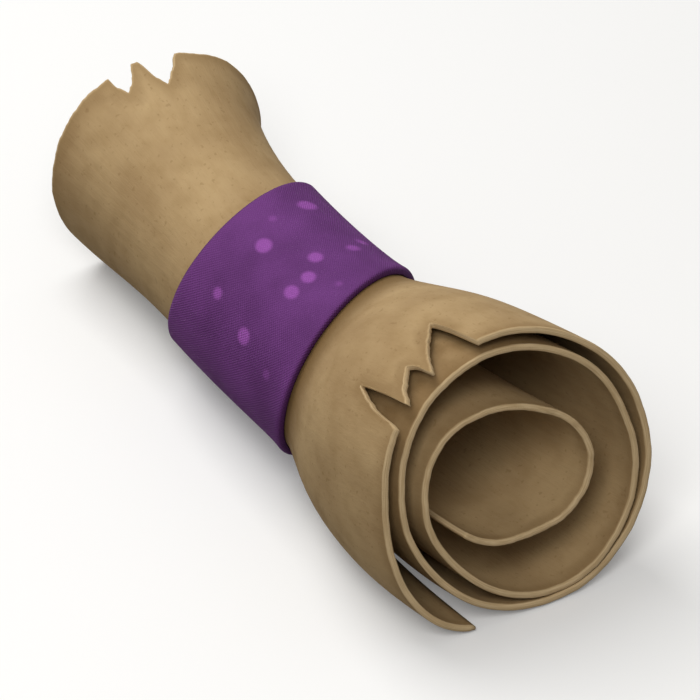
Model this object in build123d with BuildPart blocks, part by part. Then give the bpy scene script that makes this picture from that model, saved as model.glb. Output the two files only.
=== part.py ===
"""A rolled paper scroll: one flared, torn sheet of thick paper, cinched by a wide cloth band.

The roll lies along X with its near end at +X and rests on Z = 0. Angles are in degrees, clockwise
from the bottom of the roll as seen from the near end, and they run on from turn to turn inwards.
"""

import os
from math import cos, radians, sin, sqrt, tan
from typing import NamedTuple

from build123d import *

# The sheet
sheet_width = 160.0  # between the two rims, along the roll
paper_thickness = 1.6
outer_edge_angle = 27.5  # where the outermost turn begins
inner_edge_angle = 1140.0  # where the innermost turn ends

# Radius of the outermost turn, to the middle of the paper
far_radius = 29.1
waist_radius = 22.2
near_radius = 36.8

# How much closer to the axis each turn lies than the one outside it
far_pitch = 3.0
waist_pitch = 2.0
near_pitch = 4.0

# Where the second turn sags on to the first at the near end
near_turn_sag = 2.4
turn_sag_angle = 725.0
turn_sag_span = 110.0  # degrees to each side

# The inner coil, which leaves the outer turns and hangs lower and flatter
coil_start_angle = 700.0
coil_full_angle = 840.0
far_coil_drop = 5.0
waist_coil_drop = 4.0
near_coil_drop = 7.4
coil_flatness = 0.34  # share of the drop that is added at top and bottom and taken off at the sides
near_coil_shift = 2.6
coil_shift_angle = 82.0

# The loose flap along the outer edge, which bows away from the roll and hangs down to the floor
flap_span = 72.0
flap_floor_gap = 0.15
far_flap_bow = 0.4
waist_flap_bow = 5.7
near_flap_bow = 22.0

# Flares
far_flare_power = 2.1  # above 1, a trumpet; the near end bulges instead
pinch_softness = 0.08  # how gently the paper bends out from under the band, as a share of the flare
near_oval = 0.04  # share by which the near end is longer along the lean and shorter across it

# The lie of the roll, with sections that lean towards one side and are skewed across that
lean_angle = 145.5  # the side towards which the sections lean
far_lean = 6.9
waist_lean = -22.4
near_lean = 13.7
far_skew = -3.0
band_far_skew = 1.0
band_near_skew = 11.4
near_skew = 4.9
sag = 2.4  # how far the waist lies below the line between the two ends
bow = -6.8  # how far the waist lies to the side of that line
rest_flat_depth = 0.35  # how much the paper is flattened where it rests


class Bite(NamedTuple):
    """A torn bite out of a rim, with its tip to one side of its middle."""

    angle: float
    half_width: float
    depth: float
    tip_shift: float


# The bites in each rim, and how many turns of the paper they go through
near_bites = [Bite(130.3, 2.9, 18.7, 1.7), Bite(141.8, 4.6, 7.5, 3.2), Bite(158.2, 5.9, 16.0, 6.0)]
near_bite_turns = 1
far_bites = [Bite(160.8, 3.2, 4.6, -1.3), Bite(181.0, 4.8, 6.6, -1.2)]
far_bite_turns = 2
bite_roughness = 0.7  # how far the middle of a torn side stands out of line
bite_overrun = 6.0  # how far the cut starts outside the rim

# The band, a strip wrapped round the waist and sewn down on its own first end
band_length = 49.6
band_center = -7.7
band_thickness = 2.0
band_clearance = 0.3
band_lap_angle = 310.0  # where the strip's outer end lies
band_lap_span = 28.0  # degrees over which the strip climbs on to its first end
band_bridge_span = 45.0  # degrees over which the band climbs on to the sheet's outer edge

# Sections
flare_stations = 8
band_stations = 9
sheet_points = 57
band_points = 37
samples = 61  # how finely the roll is searched for its lowest and widest places
underside_span = 60.0  # degrees about the bottom in which the lowest place lies

near_rim = sheet_width / 2
far_rim = -sheet_width / 2
band_near = band_center + band_length / 2
band_far = band_center - band_length / 2
half_paper = paper_thickness / 2


def spaced(first, last, count):
    return [first + (last - first) * i / (count - 1) for i in range(count)]


def smooth(run):
    run = min(max(run, 0.0), 1.0)
    return run * run * (3 - 2 * run)


def bent_out(run):
    """Zero before the band's edge and the run itself beyond it, with a rounded bend between."""
    return (run + sqrt(run * run + pinch_softness * pinch_softness)) / 2


def near_flare(x):
    run = min(bent_out((x - band_near) / (near_rim - band_near)), 1.0)
    return 1 - (1 - run) ** 2


def far_flare(x):
    return bent_out((band_far - x) / (band_far - far_rim)) ** far_flare_power


def along(x, far, waist, near):
    """A size that is `waist` under the band and grows to `far` and `near` at the two rims."""
    return waist + (far - waist) * far_flare(x) + (near - waist) * near_flare(x)


# The spiral
def rolled_radius(x, angle):
    """Radius to the middle of the paper, before the outer edge comes away as a flap."""
    outer = along(x, far_radius, waist_radius, near_radius)
    pitch = along(x, far_pitch, waist_pitch, near_pitch)
    oval = near_oval * near_flare(x) * cos(radians(2 * (angle - lean_angle)))
    drop = along(x, far_coil_drop, waist_coil_drop, near_coil_drop)
    drop *= 1 + coil_flatness * cos(radians(2 * angle))
    drop -= near_coil_shift * near_flare(x) * cos(radians(angle - coil_shift_angle))
    in_coil = smooth((angle - coil_start_angle) / (coil_full_angle - coil_start_angle))
    sagging = near_turn_sag * near_flare(x) * smooth(1 - abs(angle - turn_sag_angle) / turn_sag_span)
    return (outer - pitch * angle / 360) * (1 + oval) + sagging - drop * in_coil


# The lie of the roll on the floor
underside_angles = spaced(360 - underside_span / 2, 360 + underside_span / 2, samples)


def share_along(x):
    return (x - far_rim) / sheet_width


def bend(x):
    """How far along its bow the axis is: nothing at the rims, all at mid length."""
    return 1 - (2 * share_along(x) - 1) ** 2


def underside(x):
    """How far the roll reaches below its axis, less the flat on which it rests."""
    reaches = [(rolled_radius(x, angle) + half_paper) * cos(radians(angle)) for angle in underside_angles]
    return max(reaches) - rest_flat_depth


far_seat = underside(far_rim)
near_seat = max(
    (underside(x) + sag * bend(x) - far_seat * (1 - share_along(x))) / share_along(x)
    for x in spaced(band_near, near_rim, samples)
)


def axis_height(x):
    return far_seat * (1 - share_along(x)) + near_seat * share_along(x) - sag * bend(x)


def turn_radius(x, angle):
    """Radius to the middle of the paper, with the flap's edge hanging down to the floor at both rims."""
    drop_to_floor = (axis_height(x) - flap_floor_gap) / cos(radians(outer_edge_angle)) - half_paper
    reach = drop_to_floor - rolled_radius(x, outer_edge_angle)
    lift = reach * (far_flare(x) + near_flare(x))
    flap_bow = along(x, far_flap_bow, waist_flap_bow, near_flap_bow)
    run = min((angle - outer_edge_angle) / flap_span, 1.0)
    return rolled_radius(x, angle) + (lift + flap_bow * run) * (1 - run) ** 2


def paper_outside(x, angle):
    return turn_radius(x, angle) + half_paper


def paper_inside(x, angle):
    return turn_radius(x, angle) - half_paper


# Leaning sections
def section_lean(x):
    return radians(along(x, far_lean, waist_lean, near_lean))


def section_skew(x):
    run = min(max((x - band_far) / band_length, 0.0), 1.0)
    band_skew = band_far_skew + (band_near_skew - band_far_skew) * run
    return radians(along(x, far_skew, band_skew, near_skew))


def section_steps(x):
    """What a step of radius is in the leaning section at x, along the lean and across it."""
    turn = radians(lean_angle)
    along_lean = Vector(-tan(section_lean(x)), -sin(turn), -cos(turn))
    across_lean = Vector(-tan(section_skew(x)), -cos(turn), sin(turn))
    return along_lean, across_lean


def axis_point(x):
    return Vector(x, bow * bend(x), axis_height(x))


def roll_point(x, angle, radius):
    along_lean, across_lean = section_steps(x)
    turn = radians(angle - lean_angle)
    return axis_point(x) + (along_lean * cos(turn) + across_lean * sin(turn)) * radius


# The middle of the roll's box, which comes to lie over the origin
def middle(values):
    return (min(values) + max(values)) / 2


first_turn = spaced(outer_edge_angle, outer_edge_angle + 360, samples)
outer_turn = [
    roll_point(x, angle, paper_outside(x, angle))
    for x in spaced(far_rim, near_rim, samples)
    for angle in first_turn
]
box_middle = Vector(middle([point.X for point in outer_turn]), middle([point.Y for point in outer_turn]), 0)


def station_plane(x):
    """The plane of the section at x: local X points across the lean and local Y along it."""
    along_lean, across_lean = section_steps(x)
    return Plane(axis_point(x) - box_middle, x_dir=across_lean, z_dir=across_lean.cross(along_lean))


def section_curve(x, angles, radius_at):
    plane = station_plane(x)
    points = [roll_point(x, angle, radius_at(x, angle)) - box_middle for angle in angles]
    return Edge.make_spline([plane.to_local_coords(point) for point in points], parameters=angles)


# The torn bites
def paper_point(x, angle):
    return roll_point(x, angle, turn_radius(x, angle)) - box_middle


def cut_bite(bite, rim, inwards, cut_depth):
    """Cut a torn bite from a rim, inwards along X (+1 or -1), to a depth below the outer turn's middle."""
    mouth = paper_point(rim, bite.angle)
    tip = paper_point(rim + inwards * bite.depth, bite.angle)
    turn = radians(bite.angle)
    sideways = Vector(0, -cos(turn), sin(turn))
    outwards = ((tip - mouth).cross(sideways) * inwards).normalized()
    reach = (tip - mouth).length
    left_side = ((bite.tip_shift - bite.half_width) / 2 - bite_roughness, reach / 2)
    right_side = ((bite.tip_shift + bite.half_width) / 2 + bite_roughness, reach / 2)
    outline = [
        (-bite.half_width, -bite_overrun),
        (-bite.half_width, 0),
        left_side,
        (bite.tip_shift, reach),
        right_side,
        (bite.half_width, 0),
        (bite.half_width, -bite_overrun),
    ]
    floor = Plane(origin=mouth - outwards * cut_depth, x_dir=sideways, z_dir=outwards)
    with BuildSketch(floor) as torn_out:
        with BuildLine():
            Polyline([(across, -inwards * deep) for across, deep in outline], close=True)
        make_face()
    extrude(torn_out.sketch, amount=cut_depth + 2 * paper_thickness, mode=Mode.SUBTRACT)


# The rolled sheet
far_sections = spaced(far_rim, band_far, flare_stations)
band_sections = spaced(band_far, band_near, band_stations)
near_sections = spaced(band_near, near_rim, flare_stations)
turn_angles = spaced(outer_edge_angle, inner_edge_angle, sheet_points)

with BuildPart() as scroll_sheet:
    for x in far_sections + band_sections[1:-1] + near_sections:
        with BuildSketch(station_plane(x)):
            with BuildLine():
                outside = section_curve(x, turn_angles, paper_outside)
                inside = section_curve(x, turn_angles, paper_inside)
                add([outside, inside])
                Line(outside @ 0, inside @ 0)
                Line(outside @ 1, inside @ 1)
            make_face()
    loft()
    for bite in near_bites:
        cut_bite(bite, near_rim, -1, (near_bite_turns - 0.5) * near_pitch)
    for bite in far_bites:
        cut_bite(bite, far_rim, 1, (far_bite_turns - 0.5) * far_pitch)
    Box(
        2 * sheet_width,
        2 * sheet_width,
        sheet_width,
        align=(Align.CENTER, Align.CENTER, Align.MAX),
        mode=Mode.SUBTRACT,
    )


# The band
def band_inside(x, angle):
    """The roll's outline with clearance, bridging the step at the sheet's outer edge."""
    edge = outer_edge_angle + 360
    if angle > edge:
        return paper_outside(x, angle - 360) + band_clearance
    step = paper_outside(x, outer_edge_angle) - paper_outside(x, edge)
    return paper_outside(x, angle) + step * smooth((angle - edge) / band_bridge_span + 1) + band_clearance


def band_outside(x, angle):
    """One strip thick, and two where the strip has come round on to its own first end."""
    over = smooth((angle - band_lap_angle - 360) / band_lap_span + 1)
    return band_inside(x, angle) + band_thickness * (1 + over)


band_angles = spaced(band_lap_angle, band_lap_angle + 360, band_points)

with BuildPart() as band:
    for x in band_sections:
        with BuildSketch(station_plane(x)):
            with BuildLine():
                outside = section_curve(x, band_angles, band_outside)
                add(outside)
                Line(outside @ 1, outside @ 0)
            make_face()
    loft()
    for x in band_sections:
        with BuildSketch(station_plane(x)):
            with BuildLine():
                add(section_curve(x, band_angles, band_inside))
            make_face()
    loft(mode=Mode.SUBTRACT)

scroll_sheet.part.label = "scroll_sheet"
band.part.label = "band"

os.makedirs("parts", exist_ok=True)
export_step(scroll_sheet.part, "parts/scroll_sheet.step")
export_step(band.part, "parts/band.step")
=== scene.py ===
import math

import bpy
import numpy as np
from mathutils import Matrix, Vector
from mathutils.kdtree import KDTree


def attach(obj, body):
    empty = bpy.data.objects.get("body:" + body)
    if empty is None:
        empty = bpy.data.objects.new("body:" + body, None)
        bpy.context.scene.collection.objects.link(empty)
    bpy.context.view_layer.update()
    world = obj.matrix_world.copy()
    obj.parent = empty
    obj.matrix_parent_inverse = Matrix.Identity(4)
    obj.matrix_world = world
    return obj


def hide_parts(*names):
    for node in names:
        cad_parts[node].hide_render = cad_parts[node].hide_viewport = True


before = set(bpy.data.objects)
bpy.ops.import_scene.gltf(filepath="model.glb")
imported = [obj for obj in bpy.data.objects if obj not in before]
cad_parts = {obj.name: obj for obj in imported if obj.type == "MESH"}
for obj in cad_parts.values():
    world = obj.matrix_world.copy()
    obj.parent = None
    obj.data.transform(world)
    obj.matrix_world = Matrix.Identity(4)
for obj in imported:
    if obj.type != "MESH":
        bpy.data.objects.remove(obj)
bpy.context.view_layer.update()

# A rolled paper scroll, held shut by a dotted cloth band. Its lengths are in millimetres up to the point
# where a mesh is made, and those of the stage are in metres. Angles are in degrees, clockwise from the
# bottom of the roll as seen from its near end (+X), and they run on from turn to turn inwards.
MM = 0.001

# The sheet, as in the solid model. Sizes in threes are those at the far end, the waist and the near end.
SHEET_WIDTH = 160.0
PAPER_THICKNESS = 1.6
OUTER_EDGE = 27.5
INNER_EDGE = 1140.0
RADIUS = (29.1, 22.2, 36.8)
PITCH = (3.0, 2.0, 4.0)
TURN_SAG = 2.4
TURN_SAG_ANGLE = 725.0
TURN_SAG_SPAN = 110.0
COIL_START = 700.0
COIL_FULL = 840.0
COIL_DROP = (5.0, 4.0, 7.4)
COIL_FLATNESS = 0.34
COIL_SHIFT = 2.6
COIL_SHIFT_ANGLE = 82.0
FLAP_SPAN = 72.0
FLAP_FLOOR_GAP = 0.15
FLAP_BOW = (0.4, 5.7, 22.0)
FAR_FLARE_POWER = 2.1
PINCH_SOFTNESS = 0.08
NEAR_OVAL = 0.04
LEAN_ANGLE = 145.5
LEAN = (6.9, -22.4, 13.7)
SKEW = (-3.0, 1.0, 11.4, 4.9)  # far, far edge of the band, near edge of the band, near
SAG = 2.4
BOW = -6.8
REST_FLAT = 0.35

# Torn bites in the rims: angle, half width, depth, shift of the tip
NEAR_BITES = [(130.3, 2.9, 18.7, 1.7), (141.8, 4.6, 7.5, 3.2), (158.2, 5.9, 16.0, 6.0)]
FAR_BITES = [(160.8, 3.2, 4.6, -1.3), (181.0, 4.8, 6.6, -1.2)]
BITE_ROUGHNESS = 0.7
BITE_STEP = 0.15  # the least distance between two corners of a bite

# The band
BAND_LENGTH = 49.6
BAND_CENTER = -7.7
BAND_THICKNESS = 2.0
BAND_CLEARANCE = 0.3
BAND_LAP = 310.0
BAND_LAP_SPAN = 28.0
BAND_BRIDGE = 45.0

NEAR_RIM = SHEET_WIDTH / 2
FAR_RIM = -SHEET_WIDTH / 2
BAND_NEAR = BAND_CENTER + BAND_LENGTH / 2
BAND_FAR = BAND_CENTER - BAND_LENGTH / 2
HALF_PAPER = PAPER_THICKNESS / 2

# How closely the form is measured to find its seat on the floor and its middle
SAMPLES = 61
UNDERSIDE_SPAN = 60.0  # round the bottom of the roll


# The form of the roll
def smooth(run):
    """A soft step from 0 to 1."""
    run = np.clip(run, 0, 1)
    return run * run * (3 - 2 * run)


def bent_out(run):
    """0 before the start of a run and the run itself after it, with a soft bend between."""
    return (run + np.sqrt(run * run + PINCH_SOFTNESS**2)) / 2


def near_flare(x):
    """0 at the waist and 1 at the near rim, as a full bulge."""
    run = np.minimum(bent_out((x - BAND_NEAR) / (NEAR_RIM - BAND_NEAR)), 1)
    return 1 - (1 - run) ** 2


def far_flare(x):
    """0 at the waist and 1 at the far rim, as a trumpet."""
    return bent_out((BAND_FAR - x) / (BAND_FAR - FAR_RIM)) ** FAR_FLARE_POWER


def along(x, sizes):
    """A size at station x, from its values at the far end, the waist and the near end."""
    far, waist, near = sizes
    return waist + (far - waist) * far_flare(x) + (near - waist) * near_flare(x)


def rolled_radius(x, angle):
    """The radius of the middle of the paper where it is rolled up, coil included."""
    oval = NEAR_OVAL * near_flare(x) * np.cos(np.radians(2 * (angle - LEAN_ANGLE)))
    drop = along(x, COIL_DROP) * (1 + COIL_FLATNESS * np.cos(np.radians(2 * angle)))
    drop = drop - COIL_SHIFT * near_flare(x) * np.cos(np.radians(angle - COIL_SHIFT_ANGLE))
    in_coil = smooth((angle - COIL_START) / (COIL_FULL - COIL_START))
    sagging = TURN_SAG * near_flare(x) * smooth(1 - np.abs(angle - TURN_SAG_ANGLE) / TURN_SAG_SPAN)
    return (along(x, RADIUS) - along(x, PITCH) * angle / 360) * (1 + oval) + sagging - drop * in_coil


def share_along(x):
    """0 at the far rim and 1 at the near rim."""
    return (x - FAR_RIM) / SHEET_WIDTH


def bend(x):
    """1 midway between the rims and 0 at both of them."""
    return 1 - (2 * share_along(x) - 1) ** 2


def underside(x):
    """How high the axis of the roll is where the roll rests at x, on its flattened spot."""
    angles = 360 + np.linspace(-UNDERSIDE_SPAN / 2, UNDERSIDE_SPAN / 2, SAMPLES)
    x = np.atleast_1d(x)[:, None]
    reach = (rolled_radius(x, angles) + HALF_PAPER) * np.cos(np.radians(angles))
    return reach.max(axis=1) - REST_FLAT


def near_end_height():
    """How high the axis is at the near rim when the roll rests on its far rim and its near flare."""
    x = np.linspace(BAND_NEAR, NEAR_RIM, SAMPLES)
    share = share_along(x)
    return ((underside(x) + SAG * bend(x) - FAR_SEAT * (1 - share)) / share).max()


FAR_SEAT = underside(FAR_RIM)[0]
NEAR_SEAT = near_end_height()


def axis_height(x):
    return FAR_SEAT * (1 - share_along(x)) + NEAR_SEAT * share_along(x) - SAG * bend(x)


def turn_radius(x, angle):
    """The radius of the middle of the paper, with the flap at its outer edge let down to the floor."""
    drop_to_floor = (axis_height(x) - FLAP_FLOOR_GAP) / math.cos(math.radians(OUTER_EDGE)) - HALF_PAPER
    lift = (drop_to_floor - rolled_radius(x, OUTER_EDGE)) * (far_flare(x) + near_flare(x))
    run = np.minimum((angle - OUTER_EDGE) / FLAP_SPAN, 1)
    return rolled_radius(x, angle) + (lift + along(x, FLAP_BOW) * run) * (1 - run) ** 2


def section_skew(x):
    """How far the section at x leans square to its main lean."""
    far, band_far, band_near, near = SKEW
    band_skew = band_far + (band_near - band_far) * np.clip((x - BAND_FAR) / BAND_LENGTH, 0, 1)
    return along(x, (far, band_skew, near))


def roll_points(x, angle, radius):
    """Points of the roll, in millimetres, before its box is centred over the origin."""
    lean, skew = np.radians(along(x, LEAN)), np.radians(section_skew(x))
    turn, from_lean = np.radians(angle), np.radians(angle - LEAN_ANGLE)
    px = x - radius * (np.tan(lean) * np.cos(from_lean) + np.tan(skew) * np.sin(from_lean))
    py = BOW * bend(x) - radius * np.sin(turn)
    pz = axis_height(x) - radius * np.cos(turn)
    return np.stack(np.broadcast_arrays(px, py, pz), axis=-1)


def roll_middle():
    """Where the middle of the plain roll's box is, over the floor."""
    x = np.linspace(FAR_RIM, NEAR_RIM, SAMPLES)[:, None]
    angle = np.linspace(OUTER_EDGE, OUTER_EDGE + 360, SAMPLES)
    points = roll_points(x, angle, turn_radius(x, angle) + HALF_PAPER).reshape(-1, 3)
    return (points.min(axis=0) + points.max(axis=0)) / 2 * (1, 1, 0)


MIDDLE = roll_middle()
WAIST_RADIUS = along(0.0, RADIUS)


# Objects and meshes
def new_object(name, data):
    piece = bpy.data.objects.new(name, data)
    bpy.context.collection.objects.link(piece)
    return piece


def end_faces(loop):
    """Faces that close a loop of points, from each point to the one across from it."""
    half = len(loop) // 2
    faces = [[loop[i], loop[i + 1], loop[-i - 1], loop[-i]] for i in range(1, half - 1)]
    return [[loop[0], loop[1], loop[-1]], *faces, [loop[half - 1], loop[half], loop[half + 1]]]


def ring_mesh(name, grid, closed, attributes):
    """A mesh from loops of points, one after another; a run of loops that isn't closed gets ends."""
    loops, steps = grid.shape[:2]
    index = np.arange(loops * steps).reshape(loops, steps)
    after = np.roll(index, -1, axis=0) if closed else index[1:]
    before = index if closed else index[:-1]
    quads = np.stack([before, np.roll(before, -1, axis=1), np.roll(after, -1, axis=1), after], axis=-1)
    faces = quads.reshape(-1, 4).tolist()
    if not closed:
        backwards = np.roll(index[0][::-1], 1)
        faces += end_faces(backwards.tolist()) + end_faces(index[-1].tolist())
    mesh = bpy.data.meshes.new(name)
    mesh.from_pydata((grid.reshape(-1, 3) - MIDDLE) * MM, [], faces)
    for key, values in attributes.items():
        kind, field = ("FLOAT_VECTOR", "vector") if values.ndim == 3 else ("FLOAT", "value")
        data = mesh.attributes.new(key, kind, "POINT").data
        data.foreach_set(field, values.astype(np.float32).ravel())
    mesh.polygons.foreach_set("use_smooth", [True] * len(mesh.polygons))
    mesh.update()
    return new_object(name, mesh)


# Unevenness, seeded
def waves(along_a, along_b, lengths, seed):
    """A smooth noise about zero over a surface: waves of the given lengths, with headings of their own."""
    rng = np.random.default_rng(seed)
    total = 0
    for length in lengths:
        heading, phase = rng.uniform(0, 2 * math.pi, 2)
        run = along_a * math.cos(heading) + along_b * math.sin(heading)
        total = total + math.sqrt(length) * np.sin(2 * math.pi * run / length + phase)
    return total / sum(math.sqrt(length) for length in lengths)


def ripples(run, lengths, seed):
    """The same along one line only."""
    rng = np.random.default_rng(seed)
    phases = rng.uniform(0, 2 * math.pi, len(lengths))
    heights = [math.sqrt(length) for length in lengths]
    total = sum(h * np.sin(2 * math.pi * run / n + p) for h, n, p in zip(heights, lengths, phases))
    return total / sum(heights)


# The paper sheet
SHEET_ROWS = 54  # across each face
ROW_CROWDING = 0.8  # how much closer together the rows are near the rims
COLUMN_STEP = 2.0
FINE_COLUMN_STEP = 0.45
FINE_COLUMNS = (118.0, 198.0)  # where the bites are
BITE_REACH = 42.0  # how far from a rim the rows make way for a bite
RIM_STEPS = 5  # across the rounded rims
RIM_ROUND = 0.35
END_ROUND = 1.5  # degrees over which the outer and inner edges are rounded off
END_BLUNTNESS = 0.15  # the share of that rounding which is cut off, so that the edges keep a face
DECKLE = 0.4  # unevenness of the cut rims
NEAR_DECKLE_LENGTHS = (71.0, 37.0, 19.0, 9.7, 5.1, 2.6)
FAR_DECKLE_LENGTHS = (67.0, 31.0, 17.0, 8.9, 4.7, 2.4)
TEAR_FRAY = 0.3  # unevenness of the torn sides
TEAR_FRAY_LENGTHS = (3.7, 2.3, 1.4, 0.9)
WAVE = 0.35  # unevenness of the flared paper
WAVE_LENGTHS = (34.0, 26.0, 19.0, 47.0)
UNDER_TURN_SHADE_START = 8.0  # degrees from the outer edge to where the painted shade under it is darkest


def bite_depth(bites, angle, radius):
    """How far the rim is torn back at each angle of one turn."""
    depth = np.zeros_like(angle)
    for middle, half_width, deepest, tip in bites:
        across = np.radians(angle - middle) * radius
        across = across + TEAR_FRAY * ripples(across, TEAR_FRAY_LENGTHS, seed=int(middle))
        corners = [
            -half_width,
            (tip - half_width) / 2 - BITE_ROUGHNESS,
            tip,
            (tip + half_width) / 2 + BITE_ROUGHNESS,
            half_width,
        ]
        for i in range(1, len(corners)):
            corners[i] = max(corners[i], corners[i - 1] + BITE_STEP)
        depth = np.maximum(depth, np.interp(across, corners, [0, deepest / 2, deepest, deepest / 2, 0]))
    return depth


def sheet_columns():
    """The angles of the mesh's columns, close together at the bites of the first two turns."""
    runs = []
    start = OUTER_EDGE
    for turned in (0, 360):
        first, last = (turned + angle for angle in FINE_COLUMNS)
        runs += [np.arange(start, first, COLUMN_STEP), np.arange(first, last, FINE_COLUMN_STEP)]
        start = last
    return np.concatenate([*runs, np.arange(start, INNER_EDGE, COLUMN_STEP), [INNER_EDGE]])


def sheet_rims(angle):
    """The far and near rims at each angle: the near one is torn on one turn, the far one on two."""
    arc = np.radians(angle) * RADIUS[2]
    near = NEAR_RIM + DECKLE * (ripples(arc, NEAR_DECKLE_LENGTHS, seed=3) - 1)
    far = FAR_RIM - DECKLE * (ripples(arc, FAR_DECKLE_LENGTHS, seed=4) - 1)
    first_turn = angle < OUTER_EDGE + 360
    first_two = angle < OUTER_EDGE + 720
    in_turn = np.where(first_turn, angle, angle - 360)
    near = near - bite_depth(NEAR_BITES, angle, turn_radius(NEAR_RIM, angle)) * first_turn
    far = far + bite_depth(FAR_BITES, in_turn, turn_radius(FAR_RIM, angle)) * first_two
    return far, near


def sheet_loop():
    """One loop round the sheet, from the tip of its far rim: stations, sides and the bulge of the rims.

    Sides run from 1 on the outer face to -1 on the inner one.
    """
    run = np.linspace(0, 1, SHEET_ROWS)
    face = (run - ROW_CROWDING * np.sin(2 * math.pi * run) / (2 * math.pi)) * SHEET_WIDTH
    rim = np.linspace(0, math.pi, RIM_STEPS + 2)[1:-1]
    rows, steps = np.ones(SHEET_ROWS), np.ones(RIM_STEPS)
    station = [FAR_RIM + face, NEAR_RIM * steps, NEAR_RIM - face, FAR_RIM * steps]
    side = [rows, np.cos(rim), -rows, -np.cos(rim)]
    bulge = [0 * rows, np.sin(rim), 0 * rows, -np.sin(rim)]
    from_far_tip = RIM_STEPS // 2 + 1
    return [np.roll(np.concatenate(values), from_far_tip) for values in (station, side, bulge)]


def rim_distance(angle, rim, x, radius):
    """How far each point of the sheet is from a torn rim, over the paper."""
    arc = np.radians(angle) * radius
    tree = KDTree(len(angle))
    for i, (run, reach) in enumerate(zip(arc[:, 0], rim[:, 0])):
        tree.insert((run, reach, 0), i)
    tree.balance()
    runs = np.broadcast_to(arc, x.shape)
    found = [tree.find((run, reach, 0))[2] for run, reach in zip(runs.ravel(), x.ravel())]
    return np.array(found).reshape(x.shape)


def paper_sheet():
    angle = sheet_columns()[:, None]
    far, near = sheet_rims(angle)
    station, side, bulge = sheet_loop()
    to_near = smooth(1 - (NEAR_RIM - station) / BITE_REACH)
    to_far = smooth(1 - (station - FAR_RIM) / BITE_REACH)
    x = station + (near - RIM_ROUND - NEAR_RIM) * to_near + (far + RIM_ROUND - FAR_RIM) * to_far
    x = x + RIM_ROUND * bulge
    from_end = np.minimum(angle - OUTER_EDGE, INNER_EDGE - angle)
    thickness = HALF_PAPER * np.sqrt(1 - (1 - np.clip(from_end / END_ROUND, END_BLUNTNESS, 1)) ** 2)
    arc = np.radians(angle) * WAIST_RADIUS
    flared = far_flare(x) + near_flare(x)
    ripple = WAVE * flared * waves(arc, x, WAVE_LENGTHS, seed=5)
    points = roll_points(x, angle, turn_radius(x, angle) + ripple + thickness * side)
    points[..., 2] = np.maximum(points[..., 2], 0)
    flat = np.stack(np.broadcast_arrays(arc, x, side), axis=-1)
    edge = np.minimum(rim_distance(angle, near, x, RADIUS[2]), rim_distance(angle, far, x, RADIUS[0]))
    edge = np.minimum(edge, np.radians(from_end) * turn_radius(x, angle))
    # painted shade on the outer face of the paper under the outer turn, fading out in the coil
    under_turn_shade = smooth((angle - OUTER_EDGE - 360) / UNDER_TURN_SHADE_START) * (side + 1) / 2
    under_turn_shade = under_turn_shade * smooth((COIL_FULL - angle) / (COIL_FULL - COIL_START))
    return ring_mesh("paper_sheet", points, False, {"flat": flat, "edge": edge, "under_turn_shade": under_turn_shade})


# The cloth band
BAND_RADIUS = WAIST_RADIUS + HALF_PAPER + BAND_CLEARANCE
BAND_COLUMNS = 300
BAND_ROWS = 66
BAND_DROP = 1.0  # degrees in which the outer end of the band drops to the cloth under it
HEM_STEPS = 9
HEM_ROUND = 2.1  # how far the edges of the thick cloth are rounded off


def band_inside(x, angle):
    """The radius of the band's inner face, which climbs to the sheet's outer edge ahead of it."""
    edge = OUTER_EDGE + 360
    paper = turn_radius(x, np.where(angle > edge, angle - 360, angle)) + HALF_PAPER
    step = turn_radius(x, OUTER_EDGE) - turn_radius(x, edge)
    bridge = smooth((angle - edge) / BAND_BRIDGE + 1) * (angle <= edge)
    return paper + step * bridge + BAND_CLEARANCE


def band_thickness(angle):
    """One cloth thick, and two where the lap has climbed on to its own first end."""
    return BAND_THICKNESS * (1 + smooth((angle - BAND_LAP - 360) / BAND_LAP_SPAN + 1))


def cloth_band():
    angle = np.linspace(BAND_LAP, BAND_LAP + 360 - BAND_DROP, BAND_COLUMNS)[:, None]
    hem = np.linspace(0, math.pi / 2, HEM_STEPS + 1)[1:]
    face = np.linspace(-1, 1, BAND_ROWS)
    flat_half = BAND_LENGTH / 2 - HEM_ROUND
    near_hem = flat_half + HEM_ROUND * np.sin(hem)
    inner_face = -face[1:-1] * BAND_LENGTH / 2
    offset = np.concatenate([face * flat_half, near_hem, inner_face, -near_hem[::-1]])
    height = np.concatenate([np.ones(BAND_ROWS), np.cos(hem), np.zeros(BAND_ROWS - 2), np.cos(hem)[::-1]])
    x = BAND_CENTER + offset
    points = roll_points(x, angle, band_inside(x, angle) + band_thickness(angle) * height)
    arc = np.radians(angle) * BAND_RADIUS
    flat = np.stack(np.broadcast_arrays(arc, x, height), axis=-1)
    spot = np.stack(np.broadcast_arrays(arc, points[..., 0], 0), axis=-1)
    return ring_mesh("cloth_band", points, True, {"flat": flat, "spot": spot})


# The thread that sews down the lap of the band
STITCH_INSET = 5.0  # degrees from the outer end of the band
STITCH_PITCH = 3.4
STITCH_HEIGHT = 0.3
STITCH_SQUARENESS = 2.5
THREAD_WIDTH = 0.6
THREAD_LOOPS = 300
THREAD_SIDES = 8
THREAD_TWIST = 0.7  # from one strand of the thread to the next


def lap_thread():
    """A running stitch: one thread that rises out of the cloth and dives into it again."""
    angle = BAND_LAP + 360 - STITCH_INSET
    offset = np.linspace(-1, 1, THREAD_LOOPS)[:, None] * (BAND_LENGTH / 2 - HEM_ROUND)
    x = BAND_CENTER + offset
    side = np.linspace(0, 2 * math.pi, THREAD_SIDES, endpoint=False)
    rise = np.tanh(STITCH_SQUARENESS * np.cos(2 * math.pi * offset / STITCH_PITCH)) * STITCH_HEIGHT
    surface = band_inside(x, angle) + band_thickness(angle)
    around = angle + np.degrees(THREAD_WIDTH / 2 * np.cos(side) / BAND_RADIUS)
    points = roll_points(x, around, surface + rise + THREAD_WIDTH / 2 * np.sin(side))
    flat = np.stack(np.broadcast_arrays(offset, side, 0), axis=-1)
    return ring_mesh("lap_thread", points, False, {"flat": flat})


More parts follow.
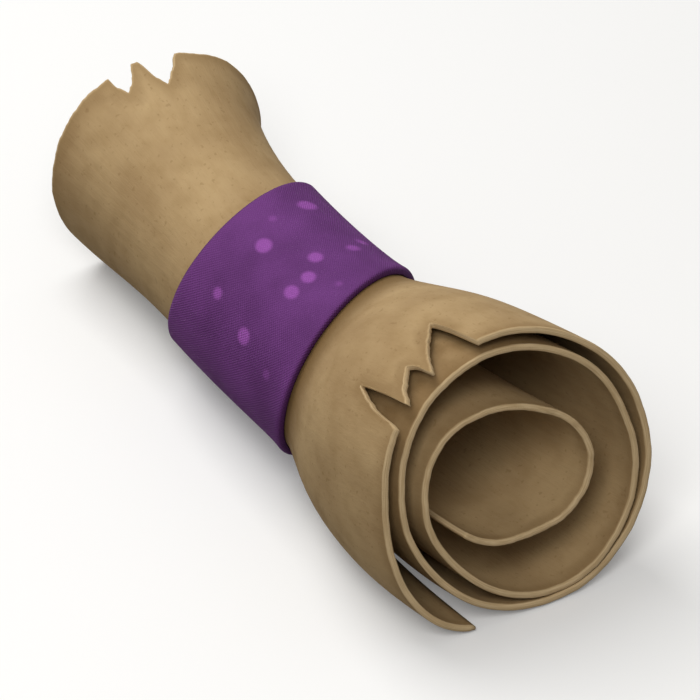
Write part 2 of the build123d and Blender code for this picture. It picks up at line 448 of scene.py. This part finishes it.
# Materials
class Shader:
    """The nodes of a material or a world: adds nodes and joins them."""

    def __init__(self, owner):
        owner.use_nodes = True
        self.owner = owner
        self.tree = owner.node_tree

    def add(self, kind, inputs=None, **settings):
        node = self.tree.nodes.new(kind)
        for key, value in settings.items():
            setattr(node, key, value)
        for key, value in (inputs or {}).items():
            self.set(node.inputs[key], value)
        return node

    def set(self, socket, value):
        if isinstance(value, bpy.types.NodeSocket):
            self.tree.links.new(value, socket)
        else:
            socket.default_value = value

    def place(self):
        return self.add("ShaderNodeTexCoord").outputs["Object"]

    def attribute(self, name, output):
        return self.add("ShaderNodeAttribute", attribute_name=name).outputs[output]

    def split(self, vector):
        return self.add("ShaderNodeSeparateXYZ", {0: vector}).outputs

    def math(self, operation, first, second=0.0):
        return self.add("ShaderNodeMath", {0: first, 1: second}, operation=operation).outputs[0]

    def vector(self, operation, first, second):
        return self.add("ShaderNodeVectorMath", {0: first, 1: second}, operation=operation)

    def noise(self, coordinates, scale=1.0, detail=2.0, stretch=(1, 1, 1)):
        moved = self.add("ShaderNodeMapping", {"Vector": coordinates, "Scale": stretch}).outputs[0]
        inputs = {"Vector": moved, "Scale": scale, "Detail": detail}
        return self.add("ShaderNodeTexNoise", inputs).outputs["Fac"]

    def spread(self, value, low, high, at_low=0.0, at_high=1.0):
        """A soft step from at_low, where the value is low, to at_high, where it is high."""
        inputs = {"Value": value, "From Min": low, "From Max": high, "To Min": at_low, "To Max": at_high}
        return self.add("ShaderNodeMapRange", inputs, interpolation_type="SMOOTHSTEP").outputs[0]

    def mix(self, amount, first, second):
        node = self.add("ShaderNodeMix", data_type="RGBA")
        for socket, value in zip([i for i in node.inputs if i.enabled], (amount, first, second)):
            self.set(socket, value)
        return next(o for o in node.outputs if o.enabled)

    def bump(self, height, strength, distance, normal=None):
        inputs = {"Height": height, "Strength": strength, "Distance": distance}
        if normal is not None:
            inputs["Normal"] = normal
        return self.add("ShaderNodeBump", inputs).outputs[0]

    def surface(self, tint, roughness, specular, normal=None):
        """Sets the material's own shader."""
        shader = self.tree.nodes["Principled BSDF"]
        values = {"Base Color": tint, "Roughness": roughness, "Specular IOR Level": specular}
        if normal is not None:
            values["Normal"] = normal
        for key, value in values.items():
            self.set(shader.inputs[key], value)
        return shader.outputs[0]


def colour(red, green, blue):
    """A linear colour from its 0 to 255 screen values."""
    shares = [value / 255 for value in (red, green, blue)]
    linear = [s / 12.92 if s < 0.04045 else ((s + 0.055) / 1.055) ** 2.4 for s in shares]
    return (*linear, 1.0)


# The paper's colours, and between which distances from a rim its stains and its wear, partly a painted
# highlight, fade out
PAPER_CLOUDS = (colour(158, 130, 91), colour(179, 151, 109))
PAPER_BLOT = colour(144, 116, 76)
PAPER_STREAK = colour(190, 164, 122)
PAPER_FIBRE = colour(128, 100, 62)
PAPER_FLECK = colour(120, 92, 55)
RIM_STAIN = colour(122, 93, 54)
RIM_STAIN_REACH = (0.6, 4.5)
BAND_EDGE_PAINTED_SHADOW = colour(110, 84, 48)
PAINTED_SHADOW_WIDTH = 16.0  # how far the painted shadow reaches out from the near edge of the band
UNDER_TURN_PAINTED_SHADE = colour(120, 93, 57)
WORN_PLIES_AND_HIGHLIGHT = (colour(190, 162, 120), colour(212, 186, 144))
WORN_AND_HIGHLIGHT_REACH = (0.15, 0.7)


def paper_material():
    make = Shader(bpy.data.materials.new("aged_paper"))
    place = make.place()
    clouds = make.noise(place, scale=45, detail=4)
    blots = make.noise(place, scale=190, detail=4)
    flecks = make.noise(place, scale=800, detail=1)
    grain = make.noise(place, scale=2600, detail=2)
    flat = make.attribute("flat", "Vector")
    streaks = make.noise(flat, detail=3, stretch=(0.55, 0.09, 0.5))
    fibres = make.noise(flat, detail=2, stretch=(3.2, 0.45, 0.5))
    plies = make.noise(flat, detail=2, stretch=(0.15, 0.0, 3.5))
    tint = make.mix(make.spread(clouds, 0.3, 0.7), *PAPER_CLOUDS)
    tint = make.mix(make.spread(blots, 0.45, 0.75, at_high=0.25), tint, PAPER_BLOT)
    tint = make.mix(make.spread(streaks, 0.35, 0.7, at_high=0.14), tint, PAPER_STREAK)
    tint = make.mix(make.spread(fibres, 0.5, 0.72, at_high=0.09), tint, PAPER_FIBRE)
    tint = make.mix(make.spread(flecks, 0.64, 0.76, at_high=0.3), tint, PAPER_FLECK)
    edge = make.attribute("edge", "Fac")
    ragged = make.math("ADD", edge, make.spread(blots, 0.3, 0.7, at_low=-1.0, at_high=1.0))
    tint = make.mix(make.spread(ragged, *RIM_STAIN_REACH, at_low=0.4, at_high=0.0), tint, RIM_STAIN)
    _, station, _ = make.split(flat)
    # painted shadow on the paper beside the near edge of the band, darkest at the band
    painted_shadow = make.spread(station, BAND_NEAR, BAND_NEAR + PAINTED_SHADOW_WIDTH, at_low=0.95, at_high=0.0)
    near_half = make.math("GREATER_THAN", station, BAND_CENTER)
    tint = make.mix(make.math("MULTIPLY", painted_shadow, near_half), tint, BAND_EDGE_PAINTED_SHADOW)
    # painted shade under the outer turn, in patches
    patchy = make.spread(blots, 0.3, 0.7, at_low=0.5, at_high=0.75)
    tint = make.mix(make.math("MULTIPLY", make.attribute("under_turn_shade", "Fac"), patchy), tint, UNDER_TURN_PAINTED_SHADE)
    # a lighter rim: worn plies, and partly a painted highlight of the rim catching light
    worn_and_highlit = make.mix(make.spread(plies, 0.35, 0.65), *WORN_PLIES_AND_HIGHLIGHT)
    tint = make.mix(make.spread(edge, *WORN_AND_HIGHLIGHT_REACH, at_low=0.9, at_high=0.0), tint, worn_and_highlit)
    roughness = make.spread(blots, 0.3, 0.7, at_low=0.78, at_high=0.94)
    bumped = make.bump(streaks, strength=0.25, distance=0.5 * MM)
    bumped = make.bump(fibres, strength=0.25, distance=0.2 * MM, normal=bumped)
    bumped = make.bump(grain, strength=0.3, distance=0.1 * MM, normal=bumped)
    make.surface(tint, roughness, specular=0.18, normal=bumped)
    return make.owner


# Dots on the band: station along the roll, angle, width, broadness round the roll, strength
DOTS = [
    (-20.5, 201.1, 3.3, 1.5, 1.0),
    (-17.6, 159.7, 4.0, 0.9, 1.0),
    (-22.7, 174.9, 1.7, 1.0, 0.45),
    (-2.6, 175.8, 3.1, 1.0, 1.0),
    (0.8, 163.8, 3.3, 0.9, 1.0),
    (0.0, 151.2, 3.6, 0.85, 1.0),
    (-19.3, 122.3, 2.6, 0.95, 0.9),
    (-4.9, 114.6, 3.6, 1.0, 1.0),
    (7.2, 106.0, 2.1, 1.1, 0.4),
    (2.2, 200.4, 2.1, 1.5, 0.9),
    (1.0, 213.0, 1.9, 1.6, 0.8),
    (10.0, 172.4, 1.4, 1.0, 0.4),
]
DOT_SOFTNESS = 1.3
DOT_SPREAD = 1.05  # the width at half strength, to the listed width
DOT_STRETCH = 1.15  # how much longer the dots are along the roll than they are wide

# Dots on the side that is out of view, within these limits
HIDDEN_DOTS = 18
HIDDEN_SEED = 11
HIDDEN_REACH = 20.0  # to both sides of the band's middle
HIDDEN_ANGLES = (240, 410)
HIDDEN_WIDTHS = (1.6, 4.0)
HIDDEN_BROADNESS = (0.85, 1.2)
HIDDEN_STRENGTHS = [0.45, 1.0, 1.0]
HIDDEN_SPACING = 6.0  # the least distance from another dot

# The cloth and its thread
WEAVE_PITCH = 0.85  # from one thread of the weave to the next but one
CLOTH_CLOUDS = (colour(97, 51, 108), colour(113, 61, 126))
DOT_COLOUR = colour(152, 83, 166)
WEAVE_SHADE = colour(60, 30, 68)
HEM_PAINTED_SHADE = colour(70, 32, 78)
THREAD_STRANDS = (colour(112, 66, 124), colour(160, 108, 170))


def band_dots():
    """The dots in view, and others like them scattered over the side that is out of view."""
    rng = np.random.default_rng(HIDDEN_SEED)
    dots = list(DOTS)
    while len(dots) < len(DOTS) + HIDDEN_DOTS:
        x = BAND_CENTER + rng.uniform(-HIDDEN_REACH, HIDDEN_REACH)
        angle = rng.uniform(*HIDDEN_ANGLES) % 360
        gaps = [math.hypot(x - d[0], math.radians(angle - d[1]) * BAND_RADIUS) for d in dots]
        if min(gaps) > HIDDEN_SPACING:
            strength = rng.choice(HIDDEN_STRENGTHS)
            dots.append((x, angle, rng.uniform(*HIDDEN_WIDTHS), rng.uniform(*HIDDEN_BROADNESS), strength))
    return dots


def dotted_share(make):
    """The strength of the dot at each place on the band, and 0 between the dots."""
    spot = make.attribute("spot", "Vector")
    dotted = 0.0
    for x, angle, width, broadness, strength in band_dots():
        turned = angle if angle >= BAND_LAP else angle + 360
        station = roll_points(x, turned, BAND_RADIUS + BAND_THICKNESS)[0]
        centre = (math.radians(turned) * BAND_RADIUS / broadness, station / DOT_STRETCH, 0)
        squeeze = (1 / broadness, 1 / DOT_STRETCH, 1)
        squeezed = make.vector("MULTIPLY", spot, squeeze).outputs["Vector"]
        away = make.vector("DISTANCE", squeezed, centre).outputs["Value"]
        reach = width * DOT_SPREAD / 2
        soft = make.spread(away, reach - DOT_SOFTNESS / 2, reach + DOT_SOFTNESS / 2, strength, 0.0)
        dotted = make.math("MAXIMUM", soft, dotted)
    return dotted


def cloth_material():
    make = Shader(bpy.data.materials.new("dotted_cloth"))
    arc, station, height = make.split(make.attribute("flat", "Vector"))
    warp = make.math("SINE", make.math("MULTIPLY", arc, 2 * math.pi / WEAVE_PITCH))
    weft = make.math("SINE", make.math("MULTIPLY", station, 2 * math.pi / WEAVE_PITCH))
    weave = make.math("MULTIPLY", warp, weft)
    clouds = make.noise(make.place(), scale=60, detail=3)
    tint = make.mix(make.spread(clouds, 0.3, 0.7), *CLOTH_CLOUDS)
    tint = make.mix(dotted_share(make), tint, DOT_COLOUR)
    tint = make.mix(make.spread(weave, -1.0, 1.0, at_low=0.16, at_high=0.0), tint, WEAVE_SHADE)
    # painted shade on the rounded edges of the band
    tint = make.mix(make.spread(height, 0.55, 0.97, at_low=0.75, at_high=0.0), tint, HEM_PAINTED_SHADE)
    bumped = make.bump(weave, strength=0.5, distance=0.2 * MM)
    make.surface(tint, roughness=0.82, specular=0.12, normal=bumped)
    return make.owner


def thread_material():
    make = Shader(bpy.data.materials.new("sewing_thread"))
    run, side, _ = make.split(make.attribute("flat", "Vector"))
    turns = make.math("MULTIPLY", run, 2 * math.pi / THREAD_TWIST)
    twist = make.math("SINE", make.math("ADD", turns, side))
    tint = make.mix(make.spread(twist, -1.0, 1.0), *THREAD_STRANDS)
    bumped = make.bump(twist, strength=0.5, distance=0.1 * MM)
    make.surface(tint, roughness=0.7, specular=0.2, normal=bumped)
    return make.owner


# The object
def dress(piece, material):
    piece.data.materials.append(material)
    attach(piece, "root")


sheet = paper_sheet()
dress(sheet, paper_material())
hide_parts("scroll_sheet")
thread = lap_thread()
dress(thread, thread_material())
band = cloth_band()
dress(band, cloth_material())
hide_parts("band")

# The stage, in metres
FLOOR_SIZE = 6.0
FLOOR_GAP = 0.0001
FLOOR_CLOUDS = (colour(248, 247, 244), colour(252, 251, 249))
FLOOR_BOUNCE = colour(120, 118, 115)  # what the floor throws back on to the object
FLOOR_FADE = (0.12, 0.6)  # how far out the floor starts to fade into the backdrop, and where it ends
FLOOR_GLOW = 0.15  # how much of the backdrop shows in the floor beside the object
BACKDROP_LEVEL = 0.97


def looked_at(make):
    """1 where a surface or the backdrop is seen or mirrored, and 0 where it only gives light."""
    rays = make.add("ShaderNodeLightPath").outputs
    seen = rays["Is Camera Ray"]
    for kind in ("Is Glossy Ray", "Is Transmission Ray"):
        seen = make.math("MAXIMUM", seen, rays[kind])
    return seen


def floor_material():
    """A pale floor that takes the object's shadow and fades into the backdrop further out."""
    make = Shader(bpy.data.materials.new("pale_floor"))
    place = make.place()
    seen = looked_at(make)
    pale = make.mix(make.noise(place, scale=3, detail=2), *FLOOR_CLOUDS)
    plain = make.surface(make.mix(seen, FLOOR_BOUNCE, pale), roughness=0.9, specular=0.1)
    away = make.vector("DISTANCE", place, (0, 0, 0)).outputs["Value"]
    faded = make.math("MULTIPLY", seen, make.spread(away, *FLOOR_FADE, at_low=FLOOR_GLOW))
    backdrop = make.add("ShaderNodeEmission", {"Strength": BACKDROP_LEVEL}).outputs[0]
    both = make.add("ShaderNodeMixShader", {0: faded, 1: plain, 2: backdrop}).outputs[0]
    make.set(make.tree.nodes["Material Output"].inputs["Surface"], both)
    return make.owner


def floor():
    mesh = bpy.data.meshes.new("floor")
    half = FLOOR_SIZE / 2
    corners = [(-half, -half), (half, -half), (half, half), (-half, half)]
    mesh.from_pydata([(x, y, -FLOOR_GAP) for x, y in corners], [], [(0, 1, 2, 3)])
    mesh.materials.append(floor_material())
    new_object("floor", mesh)


def facing(direction):
    """The turn of a lamp or camera that looks in a direction."""
    return direction.to_track_quat("-Z", "Y").to_euler()


def lamp(name, place, target, size, power):
    data = bpy.data.lights.new(name, "AREA")
    data.size = size
    data.energy = power
    light = new_object(name, data)
    light.location = place
    light.rotation_euler = facing(Vector(target) - Vector(place))


def surroundings(light_level, seen_level):
    """Even light all round, with a paler backdrop where it is looked at."""
    make = Shader(bpy.data.worlds.new("surroundings"))
    level = make.spread(looked_at(make), 0.0, 1.0, at_low=light_level, at_high=seen_level)
    background = make.tree.nodes["Background"]
    make.set(background.inputs["Color"], (1, 1, 1, 1))
    make.set(background.inputs["Strength"], level)
    bpy.context.scene.world = make.owner


# The camera, set from the picture: its direction, its distance and the point in the middle of the frame
CAMERA_AZIMUTH = 57.0
CAMERA_ELEVATION = 38.78
CAMERA_DISTANCE = 1.7117
CAMERA_LENS = 369.3
CAMERA_TARGET_HEIGHT = 0.025
CAMERA_RIGHT = 0.00344  # from the target to the middle of the frame
CAMERA_UP = -0.00576
CAMERA_CLIP_END = 20.0  # past the far corner of the floor


def camera():
    azimuth, elevation = math.radians(CAMERA_AZIMUTH), math.radians(CAMERA_ELEVATION)
    back = Vector((math.sin(azimuth), -math.cos(azimuth), math.tan(elevation))).normalized()
    right = Vector((math.cos(azimuth), math.sin(azimuth), 0))
    up = back.cross(right)
    target = Vector((0, 0, CAMERA_TARGET_HEIGHT)) - Vector(MIDDLE) * MM
    data = bpy.data.cameras.new("camera")
    data.lens = CAMERA_LENS
    data.clip_end = CAMERA_CLIP_END
    piece = new_object("camera", data)
    piece.location = target + right * CAMERA_RIGHT + up * CAMERA_UP + back * CAMERA_DISTANCE
    piece.rotation_euler = facing(-back)
    bpy.context.scene.camera = piece


floor()
lamp("key_light", place=(-0.38, -0.1, 0.75), target=(0, 0, 0.03), size=0.5, power=4.1)
lamp("mouth_light", place=(0.47, -0.42, 0.8), target=(0.05, 0, 0.03), size=0.4, power=3.7)
surroundings(light_level=0.3, seen_level=BACKDROP_LEVEL)
camera()
bpy.context.scene.view_settings.view_transform = "Standard"
